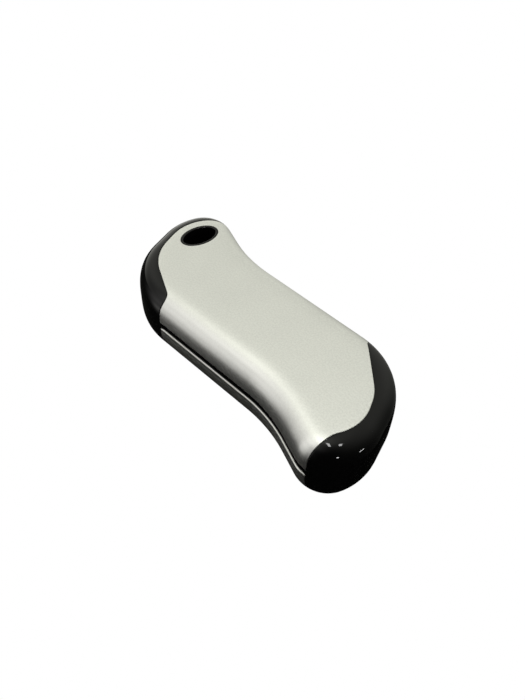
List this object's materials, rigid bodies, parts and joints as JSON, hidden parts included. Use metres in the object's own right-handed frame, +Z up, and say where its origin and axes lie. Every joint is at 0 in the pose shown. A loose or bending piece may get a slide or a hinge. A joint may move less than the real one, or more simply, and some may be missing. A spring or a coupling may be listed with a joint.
{
  "type": "rechargeable hand warmer",
  "caption": "Two-sided electric hand warmer: waisted metal heating panels on a glossy black frame, with a lanyard eyelet, charging ports and a push button.",
  "frame": {"origin": "middle of the resting face, under the middle of the body", "axes": "+X along the length to the plain end, -X to the lanyard eyelet end, +Z up out of the top panel"},
  "size_m": [0.123, 0.0486, 0.025],
  "materials": {
    "frame": "glossy",
    "top_shell": "satin",
    "bottom_shell": "satin",
    "lanyard_eyelet": "glossy",
    "cell_a": "semi-matte sleeve",
    "cell_b": "semi-matte sleeve",
    "cell_bracket_front": "matte",
    "cell_bracket_rear": "matte",
    "tab_strip_front": "rolled",
    "tab_strip_rear": "rolled",
    "cell_insulators": "pressed paper",
    "top_heater": "translucent film",
    "bottom_heater": "translucent film",
    "top_foam_pad": "foam",
    "bottom_foam_pad": "foam",
    "control_board": "solder mask",
    "usb_a_socket": "plated",
    "usb_a_tongue": "moulded",
    "micro_usb_socket": "plated",
    "micro_usb_tongue": "moulded",
    "power_button": "glossy",
    "switch_plunger": "moulded",
    "tact_switch": "moulded",
    "light_pipe": "frosted",
    "indicator_leds": "clear",
    "boost_inductor": "ferrite",
    "board_chips": "moulded",
    "board_capacitors": "ceramic",
    "board_screws": "plated",
    "thermistor": "epoxy",
    "battery_leads": "silicone",
    "heater_leads": "film"
  },
  "bodies": {
    "body": {"frame": "frame", "top_shell": "top_shell", "bottom_shell": "bottom_shell", "lanyard_eyelet": "lanyard_eyelet", "cell_a": "cell_a", "cell_b": "cell_b", "cell_bracket_front": "cell_bracket_front", "cell_bracket_rear": "cell_bracket_rear", "tab_strip_front": "tab_strip_front", "tab_strip_rear": "tab_strip_rear", "cell_insulators": "cell_insulators", "top_heater": "top_heater", "bottom_heater": "bottom_heater", "top_foam_pad": "top_foam_pad", "bottom_foam_pad": "bottom_foam_pad", "control_board": "control_board", "usb_a_socket": "usb_a_socket", "usb_a_tongue": "usb_a_tongue", "micro_usb_socket": "micro_usb_socket", "micro_usb_tongue": "micro_usb_tongue", "tact_switch": "tact_switch", "light_pipe": "light_pipe", "indicator_leds": "indicator_leds", "boost_inductor": "boost_inductor", "board_chips": "board_chips", "board_capacitors": "board_capacitors", "board_screws": "board_screws", "thermistor": "thermistor", "battery_leads": "battery_leads", "heater_leads": "heater_leads"},
    "button": {"power_button": "power_button", "switch_plunger": "switch_plunger"}
  },
  "joints": [
    {"name": "power_button_press", "type": "slide", "parent": "body", "child": "button", "axis": [-0.7986, 0.6018, 0], "range_m": [-0.0004, 0], "stiffness_N_per_m": 2000, "springref_m": 0.0003}
  ]
}
